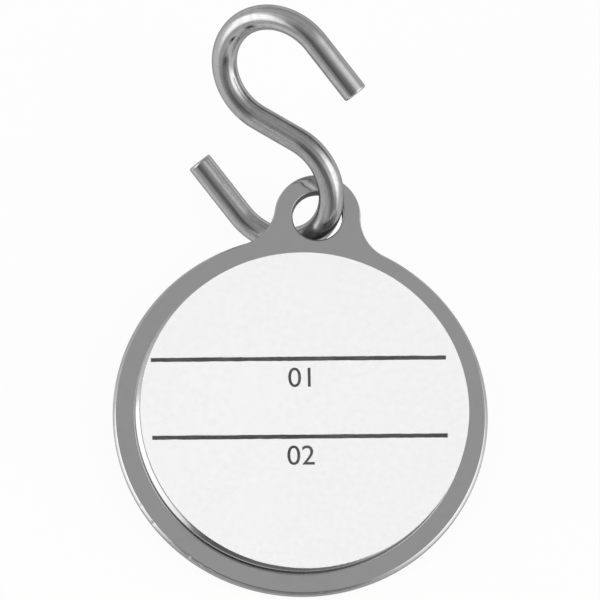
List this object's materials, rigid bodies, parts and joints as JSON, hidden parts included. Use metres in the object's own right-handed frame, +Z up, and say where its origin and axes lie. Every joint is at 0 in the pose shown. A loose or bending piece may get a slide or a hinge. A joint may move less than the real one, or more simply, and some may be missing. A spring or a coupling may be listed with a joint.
{
  "type": "pet id tag",
  "caption": "Round metal pet tag with a holed ear, a raised face under a white write-on label with a clear film, and an open wire S-hook for a collar ring.",
  "frame": {"origin": "on the surface that the tag lies on, under the middle of its box", "axes": "+Z up from that surface, +Y from the round plate towards its ear, +X to the right seen from above"},
  "size_m": [0.0317, 0.0474, 0.018],
  "materials": {
    "polished_plate": "polished plating",
    "adhesive": "tacky, hidden",
    "white_label": "matt",
    "clear_film": "clear, satin",
    "drawn_wire": "drawn, plated"
  },
  "bodies": {
    "tag": {"tag_plate": "polished_plate", "label_adhesive": "adhesive", "write_on_label": "white_label", "clear_overlay": "clear_film"},
    "hook": {"s_hook": "drawn_wire"}
  },
  "joints": [
    {"name": "hook_swing", "type": "hinge", "parent": "tag", "child": "hook", "pos_m": [0.00006, 0.00969, 0.00442], "axis": [0.0342, -0.1138, 0.9929], "continuous": true}
  ]
}
